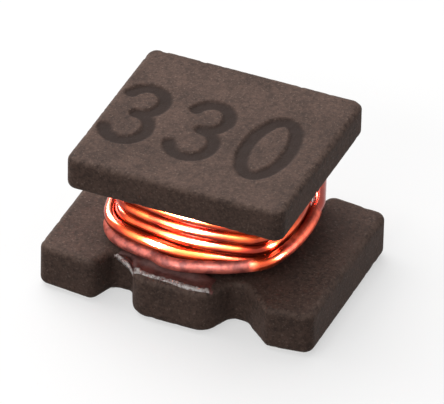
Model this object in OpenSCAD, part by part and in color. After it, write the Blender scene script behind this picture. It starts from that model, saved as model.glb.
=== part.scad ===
// Drum core power inductor, 4.5 x 3.2 x 2.6 mm class, surface mounted.
//
// One pressed ferrite core, a base flange, a post and a top flange, carries
// one continuous enamelled wire.  It comes up a rear notch, winds the inner
// layer from the top down, rolls out over its lowest turn and leaves by the
// other rear notch.  Both ends are soldered under the feet of the base.
//
// The origin is on the board, under the middle of the post.  X runs along
// the part, Y is positive towards the rear and Z points up.

/* [Base flange] */
// Length of the base flange, end to end
base_l = 4.5; // [4.3:0.05:4.8]
// Depth of the base flange over its feet
foot_d = 3.2; // [3.1:0.02:3.3]
// How far each centre lug stands out past the feet
lug_step = 0.07; // [0.04:0.01:0.12]
// Thickness of the base flange
base_t = 0.72; // [0.6:0.02:0.9]
// How far the feet fall back towards the ends
foot_rake = 0.1; // [0:0.02:0.2]
// Length of each centre lug between its corners
lug_l = 1.2; // [1:0.05:1.3]
// Rounding of the lug corners, seen from above
lug_r = 0.34; // [0.2:0.02:0.4]
// Rounding of the end corners, seen from above
end_r = 0.17; // [0.15:0.01:0.3]

/* [Notches] */
// Distance of each notch from the middle
notch_x = 0.98; // [0.95:0.01:1.05]
// Width of the notch floor
notch_w = 0.3; // [0.26:0.02:0.4]
// Distance of the notch floor from the face of the post
notch_clear = 0.18; // [0.16:0.01:0.24]
// Width that the notch gains on the foot side
notch_flare = 0.16; // [0.05:0.01:0.25]
// Width that the front right notch gains on its foot side
wide_flare = 0.43; // [0.2:0.01:0.45]
// Width that its floor gives up to that flank
wide_loss = 0.09; // [0:0.01:0.09]
// Rounding at the notch floor
notch_r = 0.16; // [0.12:0.01:0.2]

/* [Post and top flange] */
// Length of the post
post_l = 2.42; // [2.3:0.02:2.5]
// Depth of the post
post_d = 1.96; // [1.8:0.02:2.1]
// Radius to which the front and the rear of the post bow out
side_r = 3.2; // [2.4:0.1:4]
// Radius to which the ends of the post bow out
cheek_r = 2.4; // [1.8:0.1:3]
// Rounding of the post's corners
post_r = 0.28; // [0.2:0.01:0.4]
// Height of the winding window between the flanges
window_h = 1.27; // [1.25:0.01:1.5]
// Length of the top flange
top_l = 3.54; // [3.3:0.02:3.8]
// Depth of the top flange
top_d = 3.28; // [3:0.02:3.4]
// Thickness of the top flange
top_t = 0.57; // [0.4:0.01:0.8]
// Rounding of the top flange's corners, seen from above
top_r = 0.17; // [0.15:0.01:0.4]
// Softening of all outer edges of the core
edge_r = 0.1; // [0.04:0.01:0.12]

/* [Winding] */
// Diameter of the wire over its enamel
wire_d = 0.195; // [0.16:0.005:0.2]
// Clearance between turns
turn_gap = 0.01; // [0.006:0.001:0.012]
// Clearance between the winding and the core
core_gap = 0.015; // [0.01:0.001:0.03]
// Height of the lowest inner turn over the base flange
inner_rise = 0.3; // [0.26:0.01:0.32]
// Clearance of the last turn under the one above it, where it leaves
last_gap = 0.03; // [0.01:0.01:0.04]
// Drop of the outer wire round the front right corner
corner_drop = 0.05; // [0.02:0.01:0.08]
// Clearance between a lead and the floor of its notch
lead_gap = 0.07; // [0.05:0.01:0.09]
// Inner radius of the bend where a lead turns under its foot
bend_r = 0.06; // [0.04:0.01:0.08]

/* [Terminals] */
// Thickness of the plated terminals
terminal_t = 0.03; // [0.02:0.005:0.05]
// Distance of each terminal from the notch floor, along the part
terminal_gap = 0.02; // [0.01:0.01:0.1]
// Width of the soldering groove under each foot
groove_w = 0.28; // [0.26:0.01:0.34]
// Distance between the end of a lead and the end of the base flange
lead_margin = 0.45; // [0.4:0.01:0.6]
// Angle at which the grooves run inwards
groove_a = 30; // [26:1:34]

/* [Adhesive] */
// How far the adhesive reaches along the front lug, to either side
bead_l = 1.5; // [1.2:0.05:1.6]
// Clearance between the adhesive and the last turn
bead_gap = 0.01; // [0.005:0.001:0.02]
// Height of the adhesive at its front rim
rim_h = 0.02; // [0.01:0.005:0.025]
// Distance of that rim from the face of the lug
bead_inset = 0.11; // [0.105:0.005:0.2]

/* [Hidden] */

fillet_steps = 3;       // Facets across one softened edge
corner_steps = 5;       // Facets round one corner
side_steps = 8;         // Facets along the front or the rear of a turn
cheek_steps = 4;        // Facets along one end of a turn
wire_sides = 8;
round_fn = 48;

// Levels from the board up
core_z = terminal_t;
seat_z = core_z + base_t;
ceiling_z = seat_z + window_h;
top_z = ceiling_z + top_t;

// Base flange
lug_d = foot_d + 2 * lug_step;
floor_y = post_d / 2 + notch_clear;

// Winding: reach is the distance of a turn's centre line from the post
wire_r = wire_d / 2;
pitch = wire_d + turn_gap;
inner_reach = core_gap + wire_r;
low_z = seat_z + inner_rise;
// As many inner turns as the window holds, wound from the top down
inner_turns = 1 + floor((ceiling_z - core_gap - wire_r - low_z) / pitch);
// A nested turn lies in the groove between two turns of the layer below
nest_angle = 60;
nested_z = low_z + pitch * (1 - cos(nest_angle));
nested_reach = inner_reach + pitch * sin(nest_angle);
last_z = nested_z - pitch - last_gap;
// The rear crossing passes the inner turns where they step down
crossing_reach = inner_reach + pitch;

// The post's outline: two side arcs and two cheek arcs joined by corner arcs
side_centre = post_d / 2 - side_r;
cheek_centre = post_l / 2 - cheek_r;
post_corner = touching([0, side_centre], side_r - post_r,
                       [cheek_centre, 0], cheek_r - post_r);
side_a = atan2(post_corner.y - side_centre, post_corner.x);
cheek_a = atan2(post_corner.y, post_corner.x - cheek_centre);

// Shares of the front between which the lowest inner turn rolls outwards
roll_start = 0.2;
roll_end = 0.85;
// Point of the rear right corner where the wire joins, of the rear left
// corner where it leaves, counted in facets
joining = 3;
leaving = 2;

// Leads in the rear notches
lead_y = floor_y + lead_gap + wire_r;
lead_l = (base_l / 2 - lead_margin - notch_x) / cos(groove_a);
lead_turn_r = bend_r + wire_r;
groove_d = wire_d + core_gap;
lead_z = core_z + groove_d - core_gap - wire_r;

terminal_x = notch_x + notch_w / 2 + terminal_gap;
bead_h = last_z - wire_r - bead_gap - seat_z;

function unit(v) = v / norm(v);
function turned(v, a) = [v.x * cos(a) - v.y * sin(a), v.x * sin(a) + v.y * cos(a)];
function reversed(list) = [for (i = [len(list) - 1:-1:0]) list[i]];

// One rounded corner p between a and b, as [point, outward normal] pairs
function corner(a, p, b, r) =
    let (u = unit(a - p), v = unit(b - p), half = acos(u * v) / 2,
         centre = p + unit(u + v) * r / sin(half),
         side = cross(a - p, b - p) < 0 ? 1 : -1,
         first = p + u * r / tan(half) - centre)
    [for (i = [0:corner_steps])
        let (arm = turned(first, side * (180 - 2 * half) * i / corner_steps))
        [centre + arm, side * arm / r]];

// A closed outline from [x, y, corner radius] vertices, counterclockwise
function outline(vertices) =
    let (n = len(vertices), at = [for (v = vertices) [v.x, v.y]])
    [for (i = [0:n - 1])
        each corner(at[(i + n - 1) % n], at[i], at[(i + 1) % n], vertices[i].z)];

// Heights and insets of the softened edges between two levels
function edge_levels(low, high) =
    [for (i = [0:fillet_steps]) let (a = 90 * i / fillet_steps)
        [edge_r * (1 - sin(a)), low + edge_r * (1 - cos(a))],
     for (i = [fillet_steps:-1:0]) let (a = 90 * i / fillet_steps)
        [edge_r * (1 - sin(a)), high - edge_r * (1 - cos(a))]];

function mirrored(half) = [for (v = reversed(half)) [-v.x, v.y, v.z]];

// Rear right quarter of the base outline, from the end to the middle
function base_quarter(flare, loss = 0) =
    let (foot_y = foot_d / 2)
    [[base_l / 2, foot_y - foot_rake, end_r],
     [notch_x + notch_w / 2 + flare, foot_y, notch_r],
     [notch_x + notch_w / 2 - loss, floor_y, notch_r],
     [notch_x - notch_w / 2, floor_y, notch_r],
     [lug_l / 2, lug_d / 2, lug_r]];

function base_outline() =
    let (plain = base_quarter(notch_flare), wide = base_quarter(wide_flare, wide_loss))
    outline(concat(plain, mirrored(plain),
        [for (v = concat(plain, mirrored(wide))) [-v.x, -v.y, v.z]]));

function top_outline() =
    let (x = top_l / 2, y = top_d / 2)
    outline([[x, y, top_r], [-x, y, top_r], [-x, -y, top_r], [x, -y, top_r]]);

// A closed skin over rings with the same number of points.  Each end is
// covered by strips from one half of its ring to the mirrored other half.
module skin(rings) {
    n = len(rings[0]);
    last = len(rings) - 1;
    points = [for (ring = rings) each ring];
    sides = [for (k = [0:last - 1], i = [0:n - 1])
        let (a = k * n + i, b = k * n + (i + 1) % n)
        each [[a, a + n, b + n], [a, b + n, b]]];
    strips = [for (i = [0:n / 2 - 2]) [i, i + 1, n - 2 - i, n - 1 - i]];
    caps = [for (s = strips) each [s, [for (i = reversed(s)) i + last * n]]];
    polyhedron(points, concat(sides, caps));
}

// A plate of the given outline with softened edges
module soft_plate(edge, low, high) {
    skin([for (level = edge_levels(low, high))
        [for (e = edge)
            let (p = e[0] - e[1] * level[0]) [p.x, p.y, level[1]]]]);
}

// Frame in which a groove runs along +X from its lead, for side -1 or 1
module at_groove(side) {
    translate([side * notch_x, lead_y, 0])
        mirror([side < 0 ? 1 : 0, 0, 0])
            rotate(-groove_a)
                children();
}

module groove_plan(extra = 0) {
    w = groove_w + 2 * extra;
    translate([0, -w / 2])
        square([lead_l, w]);
    translate([lead_l, 0])
        circle(w / 2, $fn = round_fn);
}

module groove(side) {
    translate([0, 0, core_z - edge_r])
        linear_extrude(groove_d + edge_r)
            children();
}

module drum_core() {
    color("#3a302b")
    difference() {
        union() {
            soft_plate(base_outline(), core_z, seat_z);
            translate([0, 0, seat_z - base_t / 2])
                linear_extrude(base_t / 2 + window_h + top_t / 2)
                    polygon(turn(0));
            soft_plate(top_outline(), ceiling_z, top_z);
        }
        for (side = [-1, 1])
            at_groove(side)
                groove() groove_plan();
    }
}

function arc(centre, r, from, to, steps = corner_steps) =
    [for (i = [0:steps]) let (a = from + (to - from) * i / steps)
        centre + r * [cos(a), sin(a)]];

function inside(list) = [for (i = [1:len(list) - 2]) list[i]];
function opposite(path) = -1 * path;

// Where circles round two centres meet, on the right of the way between them
function touching(c1, r1, c2, r2) =
    let (d = norm(c2 - c1), u = (c2 - c1) / d,
         along = (r1 * r1 - r2 * r2 + d * d) / (2 * d),
         out = sqrt(r1 * r1 - along * along))
    c1 + u * along + [u.y, -u.x] * out;

// Parts of a turn that runs clockwise seen from above, at a reach from the
// post: corner 0 is at the rear right, and corners 2 and 3 face 0 and 1
function turn_corner(corner, reach) =
    corner > 1 ? opposite(turn_corner(corner - 2, reach)) :
    let (a = arc(post_corner, post_r + reach, side_a, cheek_a))
    corner == 0 ? a : [for (p = reversed(a)) [p.x, -p.y]];
function turn_right(reach) =
    inside(arc([cheek_centre, 0], cheek_r + reach, cheek_a, -cheek_a, cheek_steps));
function turn_front(reach) =
    inside(arc([0, -side_centre], side_r + reach, -side_a, side_a - 180, side_steps));
function turn_left(reach) = opposite(turn_right(reach));
function turn_rear(reach) = opposite(turn_front(reach));

function turn(reach) =
    concat(turn_corner(0, reach), turn_right(reach), turn_corner(1, reach),
        turn_front(reach), turn_corner(2, reach), turn_left(reach),
        turn_corner(3, reach), turn_rear(reach));

// Direction in which the outer common tangent of two circles faces, for a
// wire that passes clockwise from the first to the second
function tangent_angle(first, r1, second, r2) =
    let (d = second - first)
    atan2(d.y, d.x) + acos((r1 - r2) / norm(d));

function at_level(path, z) = [for (p = path) [p.x, p.y, z]];

// Flat inner turns from the top down, which step down along the rear
function inner_layer() =
    let (ring = turn(inner_reach), rear = len(ring) - side_steps)
    [for (k = [inner_turns - 1:-1:1])
        each [for (i = [k == inner_turns - 1 ? joining : 0:len(ring) - 1])
            [ring[i].x, ring[i].y,
             low_z + pitch * (k - max(0, i - rear) / side_steps)]]];

// Angle by which the lowest turn has rolled round the one above it, at a
// share of the front, and where that puts it
function roll(share) =
    nest_angle * min(1, max(0, (share - roll_start) / (roll_end - roll_start)));
function rolled_reach(share) = inner_reach + pitch * sin(roll(share));
function rolled_z(share) = low_z + pitch * (1 - cos(roll(share)));

// Height of the last turn along the front, and its reach over the rolled one
function sinking_z(share) =
    last_z + (nested_z - corner_drop - last_z) * pow(1 - share, 3);
function sinking_reach(share) =
    let (above = rolled_z(share) - sinking_z(share))
    rolled_reach(share) + sqrt(max(0, pitch * pitch - above * above));

function on_front(share, reach, z) =
    let (a = -side_a - (180 - 2 * side_a) * share)
    [(side_r + reach) * cos(a), (side_r + reach) * sin(a) - side_centre, z];
front_shares = [for (i = [1:side_steps - 1]) i / side_steps];

// Lowest inner turn, which rolls out along the front
function rolling_turn() =
    concat(at_level(turn_corner(0, inner_reach), low_z),
        at_level(turn_right(inner_reach), low_z),
        at_level(turn_corner(1, inner_reach), low_z),
        [for (s = front_shares) on_front(s, rolled_reach(s), rolled_z(s))],
        at_level(turn_corner(2, nested_reach), nested_z),
        at_level(turn_left(nested_reach), nested_z),
        at_level(turn_corner(3, nested_reach), nested_z));

// Rear crossing, which passes outside the lead that comes up there
function rear_crossing() =
    let (lead_at = [notch_x, lead_y], rear = [0, side_centre],
         r = side_r + crossing_reach, end_r = post_r + crossing_reach,
         off = tangent_angle(rear, r, lead_at, pitch),
         on = tangent_angle(lead_at, pitch, post_corner, end_r))
    at_level(concat(
        inside(arc(rear, r, 180 - side_a, off)),
        arc(lead_at, pitch, off, on),
        inside(arc(post_corner, end_r, on, cheek_a, 3))),
        nested_z);

// Last turn, which sinks along the front
function last_turn() =
    let (leave = turn_corner(3, nested_reach))
    concat(at_level(turn_right(nested_reach), nested_z),
        [for (i = [0:corner_steps])
            let (share = i / corner_steps,
                 reach = nested_reach + (sinking_reach(0) - nested_reach) * share,
                 p = turn_corner(1, reach)[i])
            [p.x, p.y, nested_z - corner_drop * share]],
        [for (s = front_shares) on_front(s, sinking_reach(s), sinking_z(s))],
        at_level(turn_corner(2, nested_reach), last_z),
        at_level(turn_left(nested_reach), last_z),
        at_level([for (i = [0:leaving]) leave[i]], last_z));

// Lead from under a foot up its notch, for side -1 or 1
function lead(side) =
    let (run = turned([side, 0], -side * groove_a), base = [side * notch_x, lead_y])
    [for (s = [lead_l, lead_turn_r]) let (p = base + run * s) [p.x, p.y, lead_z],
     for (a = [30, 60, 90])
        let (p = base + run * lead_turn_r * (1 - sin(a)))
        [p.x, p.y, lead_z + lead_turn_r * (1 - cos(a))],
     [base.x, base.y, seat_z - wire_d]];

function wire_path() =
    let (inner = inner_layer(), start = inner[0], last = last_turn(),
         end = last[len(last) - 1], up = lead(1), down = reversed(lead(-1)))
    concat(up,
        [[notch_x, lead_y, start.z - 2 * wire_d],
         [notch_x, lead_y, start.z - wire_d],
         [notch_x + wire_r / 6, lead_y - wire_r / 4, start.z - wire_r / 2],
         [notch_x + wire_r / 2, lead_y - wire_r, start.z]],
        inner, rolling_turn(), rear_crossing(), last,
        [[(end.x - notch_x) / 2, (end.y + lead_y) / 2, end.z - wire_r / 2],
         [-notch_x, lead_y, seat_z]],
        down);

// Rings of a round tube, each square to the path and kept from twisting
function tube_rings(path, r) =
    let (n = len(path),
         along = [for (i = [0:n - 1])
            unit(path[min(i + 1, n - 1)] - path[max(i - 1, 0)])])
    [for (i = 0, u = square_to([0, 1, 1], along[0]); i < n;
          i = i + 1, u = i < n ? square_to(u, along[i]) : u)
        let (v = cross(along[i], u))
        [for (k = [0:wire_sides - 1])
            let (a = 360 * k / wire_sides) path[i] + r * (cos(a) * u + sin(a) * v)]];

function square_to(v, axis) = unit(v - (v * axis) * axis);

module winding() {
    color("#c8502a")
        skin([for (ring = tube_rings(wire_path(), wire_r)) reversed(ring)]);
}

// Plated area under one foot, with the soldered groove left open
module terminal(side) {
    color("silver")
    difference() {
        linear_extrude(terminal_t)
            intersection() {
                polygon([for (e = base_outline()) e[0] - e[1] * edge_r]);
                translate([side * (terminal_x + base_l / 2) / 2, 0])
                    square([base_l / 2 - terminal_x, foot_d], center = true);
            }
        translate([0, 0, -terminal_t])
            at_groove(side)
                linear_extrude(3 * terminal_t)
                    groove_plan();
    }
}

module left_terminal() terminal(-1);

module right_terminal() terminal(1);

// Solder that fills one groove round its lead
module solder_joint(side) {
    start = lead_turn_r + wire_r;
    color("gainsboro")
    at_groove(side)
        difference() {
            linear_extrude(core_z + groove_d)
                intersection() {
                    groove_plan();
                    translate([start, -groove_w / 2])
                        square([lead_l + groove_w, groove_w]);
                }
            translate([0, 0, lead_z])
                rotate([0, 90, 0])
                    cylinder(h = lead_l, d = wire_d + core_gap / 2, $fn = round_fn);
        }
}

module left_solder_joint() solder_joint(-1);

module right_solder_joint() solder_joint(1);

// Cured adhesive on the front lug, drawn up under the last turn
module adhesive_bead() {
    rear = post_d / 2 + nested_reach;
    front = lug_d / 2;
    color("#5a3a30")
    intersection() {
        translate([-bead_l / 2, 0, seat_z])
            rotate([90, 0, 90])
                linear_extrude(bead_l)
                    polygon([[-rear + wire_r, 0], [-rear, bead_h],
                             [-rear - wire_r, bead_h], [-front, rim_h], [-front, 0]]);
        linear_extrude(ceiling_z)
            polygon([for (e = base_outline()) e[0] - e[1] * bead_inset]);
    }
}

drum_core();
winding();
left_terminal();
right_terminal();
left_solder_joint();
right_solder_joint();
adhesive_bead();
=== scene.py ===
from math import acos, atan2, ceil, cos, degrees, hypot, pi, radians, sin, sqrt, tan

import bpy
from mathutils import Matrix, Vector, noise


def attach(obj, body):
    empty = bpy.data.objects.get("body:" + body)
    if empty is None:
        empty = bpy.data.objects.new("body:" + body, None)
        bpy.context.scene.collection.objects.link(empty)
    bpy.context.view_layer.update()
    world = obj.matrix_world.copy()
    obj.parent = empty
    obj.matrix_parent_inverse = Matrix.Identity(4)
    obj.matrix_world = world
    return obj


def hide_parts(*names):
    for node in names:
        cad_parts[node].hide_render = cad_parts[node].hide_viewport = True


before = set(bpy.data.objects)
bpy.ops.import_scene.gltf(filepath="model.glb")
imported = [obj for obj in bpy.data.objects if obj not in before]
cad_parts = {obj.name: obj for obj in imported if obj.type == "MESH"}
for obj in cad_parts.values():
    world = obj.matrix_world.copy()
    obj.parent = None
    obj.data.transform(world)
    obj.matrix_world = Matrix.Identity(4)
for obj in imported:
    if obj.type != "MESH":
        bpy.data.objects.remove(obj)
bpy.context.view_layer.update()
scene = bpy.context.scene
scene.view_settings.view_transform = "Standard"
mm = 0.001  # everything is drawn in millimetres and scaled once, as a mesh is made
print("frame loaded:", ", ".join(sorted(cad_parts)))


# plain helpers

def blend(low, high, value):
    # from 0 at low to 1 at high, smoothly
    t = max(0.0, min(1.0, (value - low) / (high - low)))
    return t * t * (3 - 2 * t)


def polar(centre, radius, angle):
    return Vector((centre[0] + radius * cos(radians(angle)), centre[1] + radius * sin(radians(angle))))


def grain(place, size, seed=0.0):
    x, y, z = (c / size for c in place)
    return noise.noise(Vector((x + seed, y - seed, z + 2 * seed)))


def makePiece(name, points, faces, material, replaced, marks=None):
    mesh = bpy.data.meshes.new(name)
    mesh.from_pydata([tuple(c * mm for c in p) for p in points], [], faces)
    for label, values in (marks or {}).items():
        mark = mesh.attributes.new(label, "FLOAT", "POINT")
        mark.data.foreach_set("value", values)
    mesh.shade_smooth()
    mesh.update()
    piece = bpy.data.objects.new(name, mesh)
    scene.collection.objects.link(piece)
    mesh.materials.append(material)
    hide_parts(*replaced)
    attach(piece, "root")
    print(name, len(mesh.vertices), "points")
    return piece


class Wired:
    # an output socket on which plain arithmetic adds Math nodes
    def __init__(self, shade, socket):
        self.shade, self.socket = shade, socket

    def math(self, operation, *others):
        values = dict(enumerate((self,) + others))
        return self.shade.node("ShaderNodeMath", {"operation": operation}, values)

    def __add__(self, other):
        return self.math("ADD", other)

    def __sub__(self, other):
        return self.math("SUBTRACT", other)

    def __rsub__(self, other):
        return self.shade.node("ShaderNodeMath", {"operation": "SUBTRACT"}, {0: other, 1: self})

    def __mul__(self, other):
        return self.math("MULTIPLY", other)

    __radd__, __rmul__ = __add__, __mul__

    def between(self, low, high):
        return self.shade.node("ShaderNodeMapRange", {"interpolation_type": "SMOOTHSTEP"},
                               {"Value": self, "From Min": low, "From Max": high})


class Shade:
    # the nodes of one material, or of the world
    def __init__(self, name, kind="materials"):
        self.owner = getattr(bpy.data, kind).new(name)
        self.owner.use_nodes = True
        self.tree = self.owner.node_tree
        self.tree.nodes.clear()
        # places on the piece, in millimetres
        self.place = self.node("ShaderNodeVectorMath", {"operation": "SCALE"}, {
            0: self.node("ShaderNodeTexCoord", output="Object"), "Scale": 1 / mm})

    def node(self, kind, settings=None, inputs=None, output=0):
        made = self.tree.nodes.new(kind)
        for key, value in (settings or {}).items():
            setattr(made, key, value)
        for key, value in (inputs or {}).items():
            if isinstance(value, Wired):
                self.tree.links.new(value.socket, made.inputs[key])
            else:
                made.inputs[key].default_value = value
        return None if output is None else Wired(self, made.outputs[output])

    def noise(self, size, detail, rough):
        return self.node("ShaderNodeTexNoise", None, {
            "Vector": self.place, "Scale": 1 / size, "Detail": detail, "Roughness": rough})

    def mark(self, label):
        return self.node("ShaderNodeAttribute", {"attribute_name": label}, output="Fac")

    def mix(self, factor, first, second):
        # sockets 6 and 7 and output 2 are the node's colours
        first, second = (c if isinstance(c, Wired) else (*c, 1) for c in (first, second))
        return self.node("ShaderNodeMix", {"data_type": "RGBA"}, {0: factor, 6: first, 7: second}, 2)

    def bump(self, height, distance, strength, under=None):
        inputs = {"Height": height, "Distance": distance * mm, "Strength": strength}
        if under:
            inputs["Normal"] = under
        return self.node("ShaderNodeBump", None, inputs)

    def backdrop(self):
        # 1 for what the camera sees directly, in a reflection or through glass
        rays = ("Is Camera Ray", "Is Glossy Ray", "Is Transmission Ray")
        camera, glossy, clear = (self.node("ShaderNodeLightPath", output=ray) for ray in rays)
        return (camera + glossy + clear).math("MINIMUM", 1)

    def finish(self, inputs):
        skin = self.node("ShaderNodeBsdfPrincipled", None, inputs)
        self.node("ShaderNodeOutputMaterial", None, {"Surface": skin}, None)
        return self.owner


def srgb(r, g, b):
    return tuple(c / 255 / 12.92 if c <= 10 else ((c / 255 + 0.055) / 1.055) ** 2.4 for c in (r, g, b))


# camera

view = {"azimuth": 22.29, "elevation": 35.36, "roll": 1.454, "distance": 135.0,
        "target": (0.111, 0.0537, 1.2375), "lens": 721.7, "sensor": 36, "nearest": 0.01, "farthest": 5}


def addCamera():
    az, el, roll = (radians(view[k]) for k in ("azimuth", "elevation", "roll"))
    back = Vector((sin(az) * cos(el), -cos(az) * cos(el), sin(el)))
    right = Vector((cos(az), sin(az), 0))
    up = back.cross(right)
    x = right * cos(roll) + up * sin(roll)
    y = up * cos(roll) - right * sin(roll)
    data = bpy.data.cameras.new("camera")
    data.lens = view["lens"]
    data.sensor_width = view["sensor"]
    data.clip_start = view["nearest"]
    data.clip_end = view["farthest"]
    camera = bpy.data.objects.new("camera", data)
    place = (Vector(view["target"]) + back * view["distance"]) * mm
    camera.matrix_world = Matrix.Translation(place) @ Matrix((x, y, back)).transposed().to_4x4()
    scene.collection.objects.link(camera)
    scene.camera = camera


addCamera()
print("camera placed")

# drum core: ferrite base flange, post and top flange

core = {"baseLength": 4.5, "footDepth": 3.2, "lugStep": 0.07, "baseHeight": 0.72, "footRake": 0.1,
        "lugLength": 1.2, "lugRound": 0.34, "endRound": 0.17, "notchX": 0.98, "notchWidth": 0.3,
        "notchClear": 0.18, "notchFlare": 0.16, "wideFlare": 0.43, "wideLoss": 0.09, "notchRound": 0.16,
        "postLength": 2.42, "postDepth": 1.96, "sideRadius": 3.2, "cheekRadius": 2.4, "postRound": 0.28,
        "windowHeight": 1.27, "topLength": 3.54, "topDepth": 3.28, "topHeight": 0.57, "topRound": 0.17,
        "terminal": 0.03, "grooveWidth": 0.28, "grooveAngle": 30, "leadMargin": 0.45, "cutFrom": -0.1,
        "edge": 0.1, "edgeSteps": 8, "spacing": 0.035, "capRim": 0.03, "postSunk": 0.1}
pressing = {"uneven": 0.004, "waves": (0.55, 0.13), "chip": 0.009, "chips": (0.16, 0.06)}
number = {"text": "330", "centres": (-1.24, -0.17, 0.93), "middle": -0.13, "height": 1.5, "width": 0.66,
          "stroke": 0.215, "soft": 0.035, "depth": 0.04, "cell": 0.019, "margin": 0.25}
wire = {"diameter": 0.195, "gap": 0.01, "coreGap": 0.015, "rise": 0.3, "lastGap": 0.03,
        "cornerDrop": 0.05, "leadGap": 0.07, "bend": 0.06, "nest": 60, "rollStart": 0.2, "rollEnd": 0.85,
        "joining": 0.6, "leaving": 0.4, "cornerSteps": 10, "sideSteps": 24, "cheekSteps": 8,
        "sides": 24, "spacing": 0.035, "smoothing": 6}

baseLow = core["terminal"]
seat = baseLow + core["baseHeight"]
ceiling = seat + core["windowHeight"]
crown = ceiling + core["topHeight"]
lugFace = core["footDepth"] / 2 + core["lugStep"]
notchFloor = core["postDepth"] / 2 + core["notchClear"]
wireRadius = wire["diameter"] / 2
pitch = wire["diameter"] + wire["gap"]
leadY = notchFloor + wire["leadGap"] + wireRadius
leadReach = core["baseLength"] / 2 - core["leadMargin"] - core["notchX"]
leadLength = leadReach / cos(radians(core["grooveAngle"]))
grooveDepth = wire["diameter"] + wire["coreGap"]
leadZ = baseLow + grooveDepth - wire["coreGap"] - wireRadius


def roundedCorner(before, at, after, radius, steps):
    # points round a corner, each with its outward normal
    u, v = (before - at).normalized(), (after - at).normalized()
    half = acos(u.dot(v)) / 2
    centre = at + (u + v).normalized() * radius / sin(half)
    side = 1 if u.cross(v) < 0 else -1
    first = at + u * radius / tan(half) - centre
    arms = [Matrix.Rotation(side * (pi - 2 * half) * i / steps, 2) @ first for i in range(steps + 1)]
    return [(centre + arm, arm * side / radius) for arm in arms]


def closedOutline(vertices, steps=10):
    at = [Vector(v[:2]) for v in vertices]
    count = len(at)
    turns = [roundedCorner(at[i - 1], at[i], at[(i + 1) % count], vertices[i][2], steps)
             for i in range(count)]
    points = []
    for i in range(count):  # the straight runs are divided as finely as the corners
        points += turns[i]
        (start, normal), (end, other) = turns[i][-1], turns[(i + 1) % count][0]
        parts = ceil((end - start).length / core["spacing"])
        points += [(start.lerp(end, k / parts), normal.lerp(other, k / parts).normalized())
                   for k in range(1, parts)]
    return points


def baseOutline():
    def quarter(flare, loss=0):
        # corners of a quarter of the base, each with its rounding
        x, half = core["notchX"], core["notchWidth"] / 2
        foot = core["footDepth"] / 2
        return [(core["baseLength"] / 2, foot - core["footRake"], core["endRound"]),
                (x + half + flare, foot, core["notchRound"]),
                (x + half - loss, notchFloor, core["notchRound"]),
                (x - half, notchFloor, core["notchRound"]),
                (core["lugLength"] / 2, lugFace, core["lugRound"])]

    def mirrored(corners):
        return [(-x, y, r) for x, y, r in reversed(corners)]

    plain = quarter(core["notchFlare"])
    wide = quarter(core["wideFlare"], core["wideLoss"])
    front = [(-x, -y, r) for x, y, r in plain + mirrored(wide)]
    return closedOutline(plain + mirrored(plain) + front)


def edgeLevels(low, high, spacing=0.05):
    # inset, height and wear of each ring round a plate with soft edges
    edge, steps = core["edge"], core["edgeSteps"]
    arcs = [(edge * (1 - sin(a)), edge * (1 - cos(a)), sin(2 * a)) for a in
            (pi / 2 * i / steps for i in range(steps + 1))]
    rows = max(2, round((high - low - 2 * edge) / spacing))
    side = [(0, low + edge + (high - low - 2 * edge) * k / rows, 0) for k in range(1, rows)]
    return ([(inset, low + rise, wear) for inset, rise, wear in arcs] + side
            + [(inset, high - rise, wear) for inset, rise, wear in reversed(arcs)])


def worn(place, normal, edge, seed):
    # presses are never quite even, and their edges lose small grains
    broad, close = pressing["waves"]
    large, small = pressing["chips"]
    swell = grain(place, broad, seed) + 0.5 * grain(place, close, seed + 3)
    lift = min(0, pressing["uneven"] * (swell - 0.5))
    loss = pressing["chip"] * blend(0.12, 0.5, grain(place, large, seed + 7))
    loss += 0.3 * pressing["chip"] * blend(0, 0.5, grain(place, small, seed + 9))
    return place + normal * (lift * 0.7 - loss * edge)


def ringStack(rings, first=0):
    # faces between rings of points, counted from the index first
    count = len(rings[0])
    faces = []
    for k in range(len(rings) - 1):
        for i in range(count):
            a, b = first + k * count + i, first + k * count + (i + 1) % count
            faces.append((a, b, b + count, a + count))
    return faces


def softPlate(outline, low, high, seed):
    # closed plate with soft edges; the caps keep a flat rim so that they shade evenly
    rings, wear = [], []
    flat = core["edge"] + core["capRim"]
    for inset, z, edge in [(flat, low, 0)] + edgeLevels(low, high) + [(flat, high, 0)]:
        lean = -1 if z < (low + high) / 2 else 1
        ring = []
        for at, normal in outline:
            place = Vector((*(at - normal * inset), z))
            if inset < core["edge"]:
                place = worn(place, Vector((*normal, lean * edge)).normalized(), edge, seed)
            ring.append(place)
            wear.append(edge)
        rings.append(ring)
    faces = ringStack(rings)
    count, last = len(outline), (len(rings) - 1) * len(outline)
    faces.append(tuple(reversed(range(count))))
    faces.append(tuple(range(last, last + count)))
    return [p for ring in rings for p in ring], faces, wear


def strokes(letter):
    # centre lines of a plain rounded figure, in units of its half width and half height
    def curve(cx, cy, rx, ry, start, end, steps=20):
        return [(cx + rx * cos(radians(start + (end - start) * i / steps)),
                 cy + ry * sin(radians(start + (end - start) * i / steps))) for i in range(steps + 1)]

    return {"0": [curve(0, 0, 1, 1, 0, 360, 48)],
            "3": [curve(-0.06, 0.5, 0.9, 0.46, 160, -90), curve(-0.06, -0.46, 1, 0.5, 90, -160)]}[letter]


def numberLines():
    lines = []
    halfW, halfH = number["width"] / 2, number["height"] / 2
    for letter, centre in zip(number["text"], number["centres"]):
        for line in strokes(letter):
            lines.append([Vector((centre + x * halfW, number["middle"] + y * halfH)) for x, y in line])
    return lines


def distanceTo(lines, at):
    best = 9.0  # farther than any line
    for line in lines:
        for a, b in zip(line, line[1:]):
            along = b - a
            share = max(0.0, min(1.0, (at - a).dot(along) / along.length_squared))
            best = min(best, (at - a - along * share).length)
    return best


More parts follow.
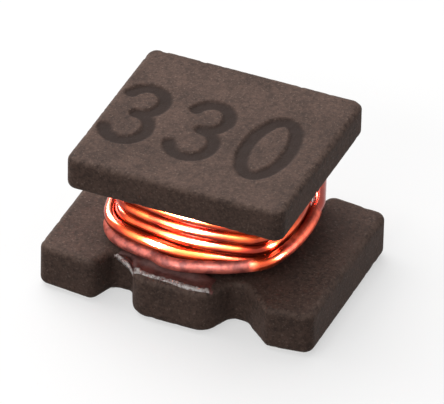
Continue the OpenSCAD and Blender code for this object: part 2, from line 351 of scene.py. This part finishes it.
def topPlate(seed):
    # the upper face is a fine grid that carries the pressed number; its border runs on into the sides
    edge = core["edge"]
    halfX, halfY = core["topLength"] / 2 - edge, core["topDepth"] / 2 - edge
    bend = core["topRound"] - edge
    nx, ny = 2 * round(halfX / number["cell"]), 2 * round(halfY / number["cell"])

    def spot(i, j):
        x, y = -halfX + 2 * halfX * i / nx, -halfY + 2 * halfY * j / ny
        u, v = (abs(x) - halfX + bend) / bend, (abs(y) - halfY + bend) / bend
        if u > 0 and v > 0:  # squares round the corner become arcs
            reach = max(u, v) / hypot(u, v)
            x = (halfX - bend + bend * u * reach) * (1 if x > 0 else -1)
            y = (halfY - bend + bend * v * reach) * (1 if y > 0 else -1)
        return Vector((x, y))

    margin = number["margin"]
    lines = [(line, min(p.x for p in line) - margin, max(p.x for p in line) + margin)
             for line in numberLines()]
    wide = number["stroke"] / 2
    points, wear, sunk, index = [], [], [], {}
    for j in range(ny + 1):
        for i in range(nx + 1):
            at = spot(i, j)
            beside = abs(at.y - number["middle"]) < number["height"] / 2 + margin
            near = [line for line, low, high in lines if beside and low < at.x < high]
            gap, soft = distanceTo(near, at), number["soft"]
            wave = 0.35 * soft * grain((at.x, at.y, 0), 0.05, 5)
            depth = 1 - blend(wide - soft + wave, wide + soft + wave, gap)
            press = number["depth"] * depth * (0.85 + 0.3 * grain((at.x, at.y, 2), 0.2, 1))
            inwards = min(1, min(i, nx - i, j, ny - j) / 4)  # the waves fade out towards the border
            swell = 0.6 * grain((at.x, at.y, 1), 0.5, seed) + 0.35 * grain((at.x, at.y, 1), 0.09, seed)
            lift = pressing["uneven"] * inwards * swell
            index[i, j] = len(points)
            points.append(Vector((at.x, at.y, crown + min(0, lift - press))))
            wear.append(0)
            sunk.append(depth)
    faces = [(index[i, j], index[i + 1, j], index[i + 1, j + 1], index[i, j + 1])
             for j in range(ny) for i in range(nx)]
    border = ([(i, 0) for i in range(nx)] + [(nx, j) for j in range(ny)]
              + [(i, ny) for i in range(nx, 0, -1)] + [(0, j) for j in range(ny, 0, -1)])

    def outward(at):
        u, v = max(0, abs(at.x) - halfX + bend), max(0, abs(at.y) - halfY + bend)
        if u == 0 or v == 0:
            u, v = (1, 0) if halfX - abs(at.x) < halfY - abs(at.y) else (0, 1)
        return Vector((u * (1 if at.x > 0 else -1), v * (1 if at.y > 0 else -1))).normalized()

    previous = [index[key] for key in border]
    count = len(previous)
    levels = edgeLevels(ceiling, crown)[-2::-1] + [(edge + core["capRim"], ceiling, 0)]
    for inset, z, edgeWear in levels:
        lean = -1 if z < (ceiling + crown) / 2 else 1
        ring = []
        for key in border:
            at = spot(*key)
            normal = outward(at)
            place = Vector((*(at + normal * (edge - inset)), z))
            if inset < edge:
                place = worn(place, Vector((*normal, lean * edgeWear)).normalized(), edgeWear, seed)
                place.z = min(place.z, crown)
            ring.append(len(points))
            points.append(place)
            wear.append(edgeWear)
            sunk.append(0)
        faces += [(previous[(k + 1) % count], previous[k], ring[k], ring[(k + 1) % count])
                  for k in range(count)]
        previous = ring
    faces.append(tuple(reversed(previous)))
    return points, faces, wear, sunk


def touching(first, r1, second, r2):
    # one of the two points at r1 from the first place and at r2 from the second
    d = (second - first).length
    u = (second - first) / d
    along = (r1 * r1 - r2 * r2 + d * d) / (2 * d)
    return first + u * along + Vector((u.y, -u.x)) * sqrt(r1 * r1 - along * along)


sideCentre = Vector((0, core["postDepth"] / 2 - core["sideRadius"]))
cheekCentre = Vector((core["postLength"] / 2 - core["cheekRadius"], 0))
postCorner = touching(sideCentre, core["sideRadius"] - core["postRound"],
                      cheekCentre, core["cheekRadius"] - core["postRound"])
sideAngle = degrees(atan2(postCorner.y - sideCentre.y, postCorner.x))
cheekAngle = degrees(atan2(postCorner.y, postCorner.x - cheekCentre.x))


def arc(centre, radius, start, end, steps):
    return [polar(centre, radius, start + (end - start) * i / steps) for i in range(steps + 1)]


def opposite(path):
    return [-p for p in path]


def turnCorner(corner, reach):
    # corners clockwise from the rear right one, seen from above
    if corner > 1:
        return opposite(turnCorner(corner - 2, reach))
    points = arc(postCorner, core["postRound"] + reach, sideAngle, cheekAngle, wire["cornerSteps"])
    return points if corner == 0 else [Vector((p.x, -p.y)) for p in reversed(points)]


def turnRight(reach):
    points = arc(cheekCentre, core["cheekRadius"] + reach, cheekAngle, -cheekAngle, wire["cheekSteps"])
    return points[1:-1]


def turnFront(reach):
    points = arc(-sideCentre, core["sideRadius"] + reach, -sideAngle, sideAngle - 180, wire["sideSteps"])
    return points[1:-1]


def turn(reach):
    right, front = turnRight(reach), turnFront(reach)
    return (turnCorner(0, reach) + right + turnCorner(1, reach) + front
            + turnCorner(2, reach) + opposite(right) + turnCorner(3, reach) + opposite(front))


def atGroove(side, at):
    # from a place along (x), across (y) and above (z) a lead's groove to the part's own axes
    angle = radians(-core["grooveAngle"])
    x = at[0] * cos(angle) - at[1] * sin(angle)
    y = at[0] * sin(angle) + at[1] * cos(angle)
    return Vector((side * (core["notchX"] + x), leadY + y, at[2]))


def grooveCutter(side):
    half = core["grooveWidth"] / 2
    plan = [(0, -half)] + [tuple(at) for at in arc((leadLength, 0), half, -90, 90, 16)] + [(0, half)]
    low, high = core["cutFrom"], baseLow + grooveDepth  # from well below the foot
    points = [atGroove(side, (x, y, z)) * mm for z in (low, high) for x, y in plan]
    count = len(plan)
    faces = [(i, (i + 1) % count, (i + 1) % count + count, i + count) for i in range(count)]
    faces += [tuple(reversed(range(count))), tuple(range(count, 2 * count))]
    if side < 0:
        faces = [tuple(reversed(f)) for f in faces]
    mesh = bpy.data.meshes.new("grooveCutter")
    mesh.from_pydata([tuple(p) for p in points], [], faces)
    cutter = bpy.data.objects.new("grooveCutter", mesh)
    scene.collection.objects.link(cutter)
    return cutter


def cutGrooves(points, faces, wear):
    mesh = bpy.data.meshes.new("blank")
    mesh.from_pydata([tuple(p * mm) for p in points], [], faces)
    mark = mesh.attributes.new("wear", "FLOAT", "POINT")
    mark.data.foreach_set("value", wear)
    blank = bpy.data.objects.new("blank", mesh)
    scene.collection.objects.link(blank)
    cutters = [grooveCutter(side) for side in (-1, 1)]
    for cutter in cutters:
        cut = blank.modifiers.new("groove", "BOOLEAN")
        cut.operation, cut.solver, cut.object = "DIFFERENCE", "EXACT", cutter
    shaped = bpy.data.meshes.new_from_object(blank.evaluated_get(bpy.context.evaluated_depsgraph_get()))
    outPoints = [v.co / mm for v in shaped.vertices]
    outFaces = [tuple(p.vertices) for p in shaped.polygons]
    values = [0.0] * len(outPoints)
    if "wear" in shaped.attributes:
        shaped.attributes["wear"].data.foreach_get("value", values)
    for o in [blank] + cutters:
        bpy.data.objects.remove(o)
    return outPoints, outFaces, values


def ferrite():
    look = {"light": srgb(105, 84, 75), "dark": srgb(57, 45, 40), "fleck": srgb(136, 116, 105),
            "edge": srgb(106, 88, 79), "number": srgb(42, 31, 27), "pit": srgb(30, 23, 20),
            "clouds": 0.6, "grains": 0.075, "specks": 0.035, "lumps": 0.14}
    s = Shade("pressedFerrite")
    cloud = s.noise(look["clouds"], 4, 0.6).between(0.3, 0.7)
    fine = s.noise(look["grains"], 3, 0.7)
    speck = s.noise(look["specks"], 2, 0.6)
    colour = s.mix(0.09 + cloud * 0.32 + fine.between(0.3, 0.7) * 0.5, look["dark"], look["light"])
    colour = s.mix(speck.between(0.58, 0.72) * 0.6, colour, look["fleck"])
    colour = s.mix((1 - speck.between(0.28, 0.42)) * 0.6, colour, look["pit"])
    colour = s.mix(s.mark("wear") * fine.between(0.35, 0.6) * 0.4, colour, look["edge"])
    colour = s.mix(s.mark("sunk") * (0.75 + 0.25 * fine), colour, look["number"])
    rough = 0.6 + 0.2 * fine - 0.06 * s.mark("wear")
    coarse = s.bump(s.noise(look["lumps"], 3, 0.6), 0.012, 0.7)
    return s.finish({"Base Color": colour, "Roughness": rough, "Specular IOR Level": 0.15,
                     "Normal": s.bump(speck, 0.008, 0.9, coarse)})


def buildCore():
    # base flange with its grooves, then the post, whose ends are sunk in both flanges, then the top
    points, faces, wear = cutGrooves(*softPlate(baseOutline(), baseLow, seat, 1))
    baseCount, steps = len(points), 20
    low, tall = seat - core["postSunk"], core["windowHeight"] + 2 * core["postSunk"]
    rings = [[Vector((p.x, p.y, low + tall * k / steps)) for p in reversed(turn(0))]
             for k in range(steps + 1)]
    faces += ringStack(rings, baseCount)
    points += [p for ring in rings for p in ring]
    lowerCount = len(points)
    topPoints, topFaces, topWear, topSunk = topPlate(4)
    points += topPoints
    faces += [tuple(i + lowerCount for i in face) for face in topFaces]
    marks = {"wear": wear + [0.0] * (lowerCount - baseCount) + topWear,
             "sunk": [0.0] * lowerCount + topSunk}
    return makePiece("drumCore", points, faces, ferrite(), ["drum_core"], marks)


buildCore()
print("core built")

# winding: one enamelled wire, from lead to lead

innerReach = wire["coreGap"] + wireRadius
lowTurn = seat + wire["rise"]
innerTurns = 1 + int((ceiling - wire["coreGap"] - wireRadius - lowTurn) / pitch)
nestedZ = lowTurn + pitch * (1 - cos(radians(wire["nest"])))
nestedReach = innerReach + pitch * sin(radians(wire["nest"]))
lastZ = nestedZ - pitch - wire["lastGap"]
crossingReach = innerReach + pitch


def atLevel(path, z):
    return [Vector((p.x, p.y, z)) for p in path]


def tangentAngle(first, r1, second, r2):
    # direction in which a straight run leaves one circle for the next
    d = second - first
    return degrees(atan2(d.y, d.x)) + degrees(acos((r1 - r2) / d.length))


def innerLayer():
    # flat turns from the top down, each of which steps down along the rear
    ring = turn(innerReach)
    rear = len(ring) - wire["sideSteps"] + 1
    joining = round(wire["joining"] * wire["cornerSteps"])
    points = []
    for k in range(innerTurns - 1, 0, -1):
        for i in range(joining if k == innerTurns - 1 else 0, len(ring)):
            fall = max(0, i - rear + 1) / wire["sideSteps"]
            points.append(Vector((ring[i].x, ring[i].y, lowTurn + pitch * (k - blend(0, 1, fall)))))
    return points


def rolled(share):
    # reach and height of the lowest turn as it rolls round the one above it
    passed = (share - wire["rollStart"]) / (wire["rollEnd"] - wire["rollStart"])
    angle = radians(wire["nest"] * blend(0, 1, passed))
    return innerReach + pitch * sin(angle), lowTurn + pitch * (1 - cos(angle))


def sinking(share):
    # reach and height of the last turn as it sinks along the front
    z = lastZ + (nestedZ - wire["cornerDrop"] - lastZ) * (1 - share) ** 3
    reach, above = rolled(share)
    return reach + sqrt(max(0, pitch * pitch - (above - z) ** 2)), z


def onFront(share, reach, z):
    p = polar(-sideCentre, core["sideRadius"] + reach, -sideAngle - (180 - 2 * sideAngle) * share)
    return Vector((p.x, p.y, z))


# places along the front, between its corners
shares = [i / wire["sideSteps"] for i in range(1, wire["sideSteps"])]


def rollingTurn():
    inner = turnCorner(0, innerReach) + turnRight(innerReach) + turnCorner(1, innerReach)
    points = atLevel(inner, lowTurn) + [onFront(s, *rolled(s)) for s in shares]
    outer = turnCorner(2, nestedReach) + opposite(turnRight(nestedReach)) + turnCorner(3, nestedReach)
    return points + atLevel(outer, nestedZ)


def rearCrossing():
    # outside the lead that comes up through the rear right notch
    riser = Vector((core["notchX"], leadY))
    out, end = core["sideRadius"] + crossingReach, core["postRound"] + crossingReach
    off = tangentAngle(sideCentre, out, riser, pitch)
    on = tangentAngle(riser, pitch, postCorner, end)
    steps = 12
    path = arc(sideCentre, out, 180 - sideAngle, off, steps)[1:-1] + arc(riser, pitch, off, on, steps)
    return atLevel(path + arc(postCorner, end, on, cheekAngle, 3)[1:-1], nestedZ)


def lastTurn():
    # from the rear right corner round to the rear left one
    points = atLevel(turnRight(nestedReach), nestedZ)
    steps = wire["cornerSteps"]
    for i in range(steps + 1):
        reach = nestedReach + (sinking(0)[0] - nestedReach) * i / steps
        p = turnCorner(1, reach)[i]
        points.append(Vector((p.x, p.y, nestedZ - wire["cornerDrop"] * i / steps)))
    points += [onFront(s, *sinking(s)) for s in shares]
    leaving = turnCorner(3, nestedReach)[:round(wire["leaving"] * steps) + 1]
    rest = turnCorner(2, nestedReach) + opposite(turnRight(nestedReach)) + leaving
    return points + atLevel(rest, lastZ)


def lead(side):
    bend = wire["bend"] + wireRadius
    points = [atGroove(side, (leadLength, 0, leadZ)), atGroove(side, (bend, 0, leadZ))]
    points += [atGroove(side, (bend * (1 - sin(radians(a))), 0, leadZ + bend * (1 - cos(radians(a)))))
               for a in range(15, 91, 15)]
    return points + [atGroove(side, (0, 0, seat - wire["diameter"]))]


def wirePath():
    # the whole path, from lead to lead, and the place in it where the last turn starts
    inner, last = innerLayer(), lastTurn()
    start, end, x = inner[0], last[-1], core["notchX"]
    up = [Vector((x, leadY, start.z - 2 * wire["diameter"])),
          Vector((x, leadY, start.z - wire["diameter"])),
          Vector((x + wireRadius / 6, leadY - wireRadius / 4, start.z - wireRadius / 2)),
          Vector((x + wireRadius / 2, leadY - wireRadius, start.z))]
    down = [Vector(((end.x - x) / 2, (end.y + leadY) / 2, end.z - wireRadius / 2)),
            Vector((-x, leadY, seat))]
    path = lead(1) + up + inner + rollingTurn() + rearCrossing()
    return path + last + down + lead(-1)[::-1], len(path)


def evenly(path, spacing):
    # points at even steps along a path, each with its place in the old list
    out, place, carry = [path[0]], [0.0], 0.0
    for k, (a, b) in enumerate(zip(path, path[1:])):
        length = (b - a).length
        at = spacing - carry
        while at <= length:
            out.append(a.lerp(b, at / length))
            place.append(k + at / length)
            at += spacing
        carry = length - (at - spacing)
    return out, place


def eased(path, passes):
    # the same path with softer bends
    for _ in range(passes):
        middle = [b * 0.5 + (a + c) * 0.25 for a, b, c in zip(path, path[1:], path[2:])]
        path = [path[0]] + middle + [path[-1]]
    return path


def enamel():
    look = {"copper": (0.5, 0.062, 0.015), "deep": (0.24, 0.02, 0.008), "film": (0.48, 0.1, 0.068),
            "stain": (0.2, 0.034, 0.026), "coat": 0.35}
    s = Shade("enamelledCopper")
    streak = s.noise(0.35, 2, 0.5)
    film = s.mark("film") * (0.6 + 0.7 * s.noise(0.12, 3, 0.6))
    colour = s.mix(streak.between(0.35, 0.65), look["deep"], look["copper"])
    stain = s.noise(0.17, 3, 0.6).between(0.36, 0.6)
    colour = s.mix(film, colour, s.mix(stain, look["stain"], look["film"]))
    rough = 0.19 + 0.05 * streak + 0.42 * film
    metal = 1 - 0.98 * film.between(0, 0.9)
    coat = look["coat"] - look["coat"] * film.between(0, 1)
    return s.finish({"Base Color": colour, "Metallic": metal, "Roughness": rough, "Coat Weight": coat,
                     "Specular IOR Level": 0.02, "Coat Roughness": 0.1, "Coat IOR": 1.6,
                     "Normal": s.bump(s.noise(0.09, 2, 0.5), 0.002, 0.5)})


varnish = {"thinAt": (1.3, -0.9), "thinReach": (0.2, 0.42), "thinBy": 0.95,
           "endX": (1.1, 1.3), "endY": (-0.85, -0.55), "endBy": 0.48, "rear": (0.4, 0.9)}


def filmOn(p):
    # varnish that crept along the last turn from the adhesive, thin at the right corner and end
    x, y = varnish["thinAt"]
    corner = varnish["thinBy"] * (1 - blend(*varnish["thinReach"], hypot(p.x - x, p.y - y)))
    end = varnish["endBy"] * blend(*varnish["endX"], p.x) * blend(*varnish["endY"], p.y)
    return (1 - corner) * (1 - end) * (1 - blend(*varnish["rear"], p.y))


def buildWinding():
    corners, lastStart = wirePath()
    path, place = evenly(corners, wire["spacing"])
    path = eased(path, wire["smoothing"])
    points, film = [], []
    side = Vector((0, 1, 1))
    for i, at in enumerate(path):
        along = (path[min(i + 1, len(path) - 1)] - path[max(i - 1, 0)]).normalized()
        side = (side - along * side.dot(along)).normalized()  # carried along, so the tube doesn't twist
        other = along.cross(side)
        for k in range(wire["sides"]):
            a = 2 * pi * k / wire["sides"]
            points.append(at + (side * cos(a) + other * sin(a)) * wireRadius)
            film.append(filmOn(points[-1]) if place[i] > lastStart else 0.0)
    count, n = len(path), wire["sides"]
    faces = [(k * n + i, k * n + (i + 1) % n, (k + 1) * n + (i + 1) % n, (k + 1) * n + i)
             for k in range(count - 1) for i in range(n)]
    faces += [tuple(reversed(range(n))), tuple(range((count - 1) * n, count * n))]
    marks = {"film": film}
    return makePiece("enamelledWire", points, faces, enamel(), ["winding"], marks)


buildWinding()
print("winding built")

# adhesive on the front lug, drawn up under the last turn

glue = {"rim": ((-1.1, -1.245), (-0.92, -1.36), (-0.75, -1.465), (-0.58, -1.54), (-0.4, -1.58),
                (-0.04, -1.58), (0.27, -1.62), (0.46, -1.6), (0.64, -1.53)),
        "film": 0.012, "ridge": 0.028, "depth": 0.05, "sunk": 0.003, "tuck": 0.02, "narrowing": 0.94,
        "lugY": -0.9, "lugX": 1.6, "rows": 34, "columns": 150, "smoothing": 40}


def adhesive():
    # the speck colour is partly whitened adhesive and partly a painted glint along the rim's edge
    look = {"dark": srgb(84, 46, 41), "pale": srgb(112, 66, 60), "speck": srgb(196, 188, 184)}
    s = Shade("curedAdhesive")
    blot = s.noise(0.16, 3, 0.6)
    # painted glint: pale specks along the rim, mixed with whitened adhesive
    speck = (s.mark("rim") * s.noise(0.05, 3, 0.7)).between(0.36, 0.58)
    colour = s.mix(blot.between(0.35, 0.65), look["dark"], look["pale"])
    colour = s.mix(speck, colour, look["speck"])
    relief = s.bump(s.noise(0.05, 3, 0.6), 0.01, 1.0)
    return s.finish({"Base Color": colour, "Roughness": 0.45 + 0.2 * blot, "Normal": relief,
                     "Coat Weight": s.mark("rim") * 0.8, "Coat Roughness": 0.18})


def buildAdhesive():
    # rim from the left notch, whose inner corner it spans, round and along the front of the lug
    line = [Vector((*at, 0)) for at in glue["rim"]]
    line, _ = evenly(line, sum((b - a).length for a, b in zip(line, line[1:])) / glue["columns"])
    line = eased(line, glue["smoothing"])
    nearby = [at for at, _ in baseOutline() if at.y < glue["lugY"] and abs(at.x) < glue["lugX"]]
    back = core["sideRadius"] + nestedReach - glue["tuck"]  # it is tucked in under the last turn
    points, rim = [], []
    for k, front in enumerate(line):
        share = k / (len(line) - 1)
        end = blend(0, 0.05, share) * blend(0, 0.1, 1 - share)
        climb = blend(0.12, 0.4, share) * blend(0, 0.25, 1 - share)
        rear = Vector((front.x * glue["narrowing"], -sideCentre.y - sqrt(back ** 2 - front.x ** 2), 0))
        for j in range(glue["rows"] + 1):
            t = j / glue["rows"]
            at = front.lerp(rear, t)
            inside = max(0, core["edge"] - distanceTo([nearby], at.xy))
            inside = inside * (1 - climb * blend(0.3, 0.5, t))
            fall = core["edge"] - sqrt(core["edge"] ** 2 - inside ** 2)  # over the soft edge of the lug
            lump = 0.75 + 0.9 * grain((at.x, at.y, 0), 0.09, 2) + 0.5 * grain((at.x, at.y, 0), 0.04, 5)
            ridge = glue["ridge"] * blend(0, 0.08, t) * (1 - blend(0.12, 0.36, t)) * max(0.1, lump)
            pool = glue["film"] * blend(0, 0.08, t) * (1 + 0.6 * grain((at.x, at.y, 3), 0.12, 1))
            rise = (lastZ - wireRadius * 0.5 - seat - glue["film"]) * blend(0.5, 1.0, t) * climb
            points.append(Vector((at.x, at.y, seat - fall - glue["sunk"] + (ridge + pool) * end + rise)))
            # the rim mark places the coat and the pale specks, which are partly a painted glint
            rim.append((1 - blend(0.18, 0.36, t)) * blend(0, 0.04, 1 - share))
    rows, count = glue["rows"] + 1, len(line)
    top = len(points)
    points += [Vector((p.x, p.y, min(p.z, seat) - glue["depth"])) for p in points]
    rim += rim
    faces = [(k * rows + j, (k + 1) * rows + j, (k + 1) * rows + j + 1, k * rows + j + 1)
             for k in range(count - 1) for j in range(rows - 1)]
    faces += [tuple(top + i for i in reversed(face)) for face in faces]
    border = ([k * rows for k in range(count)] + [(count - 1) * rows + j for j in range(1, rows)]
              + [k * rows + rows - 1 for k in range(count - 2, -1, -1)] + list(range(rows - 2, 0, -1)))
    faces += [(a, b, b + top, a + top)[::-1] for a, b in zip(border, border[1:] + border[:1])]
    marks = {"rim": rim}
    return makePiece("adhesiveFilm", points, faces, adhesive(), ["adhesive_bead"], marks)


buildAdhesive()
print("adhesive built")

# solder and terminals under the feet

solderShape = {"rows": 14, "columns": 40, "dip": 0.012, "ridge": 0.008, "recess": 0.002,
               "lowest": 0.0005, "narrowest": 0.004}


def solder():
    look = {"dull": (0.62, 0.62, 0.61), "bright": (0.80, 0.80, 0.78)}
    s = Shade("solder")
    cloud = s.noise(0.2, 3, 0.6)
    colour = s.mix(cloud.between(0.3, 0.7), look["dull"], look["bright"])
    relief = s.bump(s.noise(0.08, 3, 0.5), 0.004, 0.6)
    rough = 0.26 + 0.2 * cloud
    return s.finish({"Base Color": colour, "Metallic": 1.0, "Roughness": rough, "Normal": relief})


def tinnedSilver():
    look = {"dull": (0.66, 0.65, 0.62), "bright": (0.82, 0.81, 0.78)}
    s = Shade("tinnedSilver")
    cloud = s.noise(0.3, 4, 0.6)
    fine = s.noise(0.03, 2, 0.6)
    colour = s.mix(cloud.between(0.3, 0.7), look["dull"], look["bright"])
    relief = s.bump(fine, 0.003, 0.6, s.bump(cloud, 0.01, 0.5))
    rough = 0.33 + 0.2 * fine
    return s.finish({"Base Color": colour, "Metallic": 1.0, "Roughness": rough, "Normal": relief})


def buildSolder(side, material):
    half, rows, columns = core["grooveWidth"] / 2, solderShape["rows"], solderShape["columns"]
    start = wire["bend"] + 2 * wireRadius
    end = leadLength + half
    points = []
    for k in range(columns + 1):
        x = start + (end - start) * k / columns
        width = half if x < leadLength else sqrt(max(0, half * half - (x - leadLength) ** 2))
        width = max(width, solderShape["narrowest"])  # the round end is never quite closed
        for j in range(rows + 1):
            y = -width + 2 * width * j / rows
            u = y / half
            dip = solderShape["dip"] * (1 - u * u) * blend(0, 0.1, x - start)
            over = solderShape["ridge"] * (1 - blend(0, 0.55, abs(u)))
            z = max(solderShape["lowest"], dip - over + solderShape["recess"])
            points.append(atGroove(side, (x, y, z)))
    count, top = rows + 1, len(points)
    points += [Vector((p.x, p.y, baseLow + grooveDepth - solderShape["recess"])) for p in points]
    faces = [(k * count + j, k * count + j + 1, (k + 1) * count + j + 1, (k + 1) * count + j)
             for k in range(columns) for j in range(rows)]
    faces += [tuple(top + i for i in reversed(face)) for face in faces]
    border = ([k * count for k in range(columns + 1)] + [columns * count + j for j in range(1, count)]
              + [k * count + rows for k in range(columns - 1, -1, -1)] + list(range(rows - 1, 0, -1)))
    faces += [(a, b, b + top, a + top) for a, b in zip(border, border[1:] + border[:1])]
    if side < 0:
        faces = [face[::-1] for face in faces]
    hand = "left" if side < 0 else "right"
    return makePiece(f"{hand}Solder", points, faces, material, [f"{hand}_solder_joint"])


solderFinish = solder()
for side in (-1, 1):
    buildSolder(side, solderFinish)
tinned = tinnedSilver()
for node in ("left_terminal", "right_terminal"):
    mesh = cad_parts[node].data
    mesh.materials.clear()
    mesh.materials.append(tinned)
print("solder and terminals finished")

# floor, world and lamps

studio = {"floor": 0.97, "bounce": 0.12, "white": 0.56, "world": 0.28, "floorSize": 0.6, "aim": 1.2}
plainWhite = (1, 1, 1, 1)


def buildFloor():
    # a pale sheet, open from below so that the underside can be looked at
    size, z = studio["floorSize"], -0.001 * mm
    corners = [(-size, -size, z), (size, -size, z), (size, size, z), (-size, size, z)]
    mesh = bpy.data.meshes.new("floor")
    mesh.from_pydata(corners, [], [(0, 1, 2, 3)])
    floor = bpy.data.objects.new("floor", mesh)
    scene.collection.objects.link(floor)
    s = Shade("paleFloor")
    tone = s.noise(30, 2, 0.5)
    pale = s.mix(tone, (studio["floor"],) * 3, [studio["floor"] * t for t in (0.995, 0.99, 0.985)])
    seen = s.backdrop()
    plain = s.node("ShaderNodeBsdfDiffuse", None, {"Color": s.mix(seen, (studio["bounce"],) * 3, pale)})
    white = s.node("ShaderNodeEmission", None, {"Color": plainWhite, "Strength": 1.0})
    shown = s.node("ShaderNodeMixShader", None, {0: seen * studio["white"], 1: plain, 2: white})
    below = s.node("ShaderNodeNewGeometry", output="Backfacing")
    gone = s.node("ShaderNodeBsdfTransparent")
    shown = s.node("ShaderNodeMixShader", None, {0: below, 1: shown, 2: gone})
    s.node("ShaderNodeOutputMaterial", None, {"Surface": shown}, None)
    mesh.materials.append(s.owner)


def buildWorld():
    s = Shade("studio", "worlds")
    # white where it is seen, and a plain soft light on everything else
    strength = s.backdrop() * (1 - studio["world"]) + studio["world"]
    air = s.node("ShaderNodeBackground", None, {"Color": plainWhite, "Strength": strength})
    s.node("ShaderNodeOutputWorld", None, {"Surface": air}, None)
    scene.world = s.owner


def addLamp(name, towards, distance, width, height, radiance, only=None):
    # towards is the direction from the middle of the part to the lamp; radiance 1 looks white
    data = bpy.data.lights.new(name, "AREA")
    data.shape = "RECTANGLE"
    data.size, data.size_y = width * mm, height * mm
    data.energy = radiance * pi * width * height * mm * mm
    lamp = bpy.data.objects.new(name, data)
    away = Vector(towards).normalized()
    place = (away * distance + Vector((0, 0, studio["aim"]))) * mm
    lamp.matrix_world = Matrix.Translation(place) @ away.to_track_quat("Z", "Y").to_matrix().to_4x4()
    scene.collection.objects.link(lamp)
    if only:  # a glint: it draws a highlight and adds no other light
        lamp.light_linking.receiver_collection = only
        lamp.visible_diffuse = False
        data.cycles.max_bounces = 0


buildFloor()
buildWorld()
glints = bpy.data.collections.new("glints")  # what the small lamps draw highlights on
glints.objects.link(bpy.data.objects["enamelledWire"])
addLamp("overhead", (-0.46, 0.28, 0.85), 90, 116, 116, 2.36)
addLamp("front", (-0.209, -0.789, 0.578), 60, 42, 10, 5.5)
addLamp("frontGlint", (-0.23, -0.79, 0.46), 60, 8, 130, 1300, glints)
addLamp("rightGlint", (0.93, 0.16, 0.33), 60, 18, 36, 160, glints)
addLamp("leftGlint", (-0.70, 0.36, 0.60), 60, 36, 36, 60, glints)
print("studio lit")
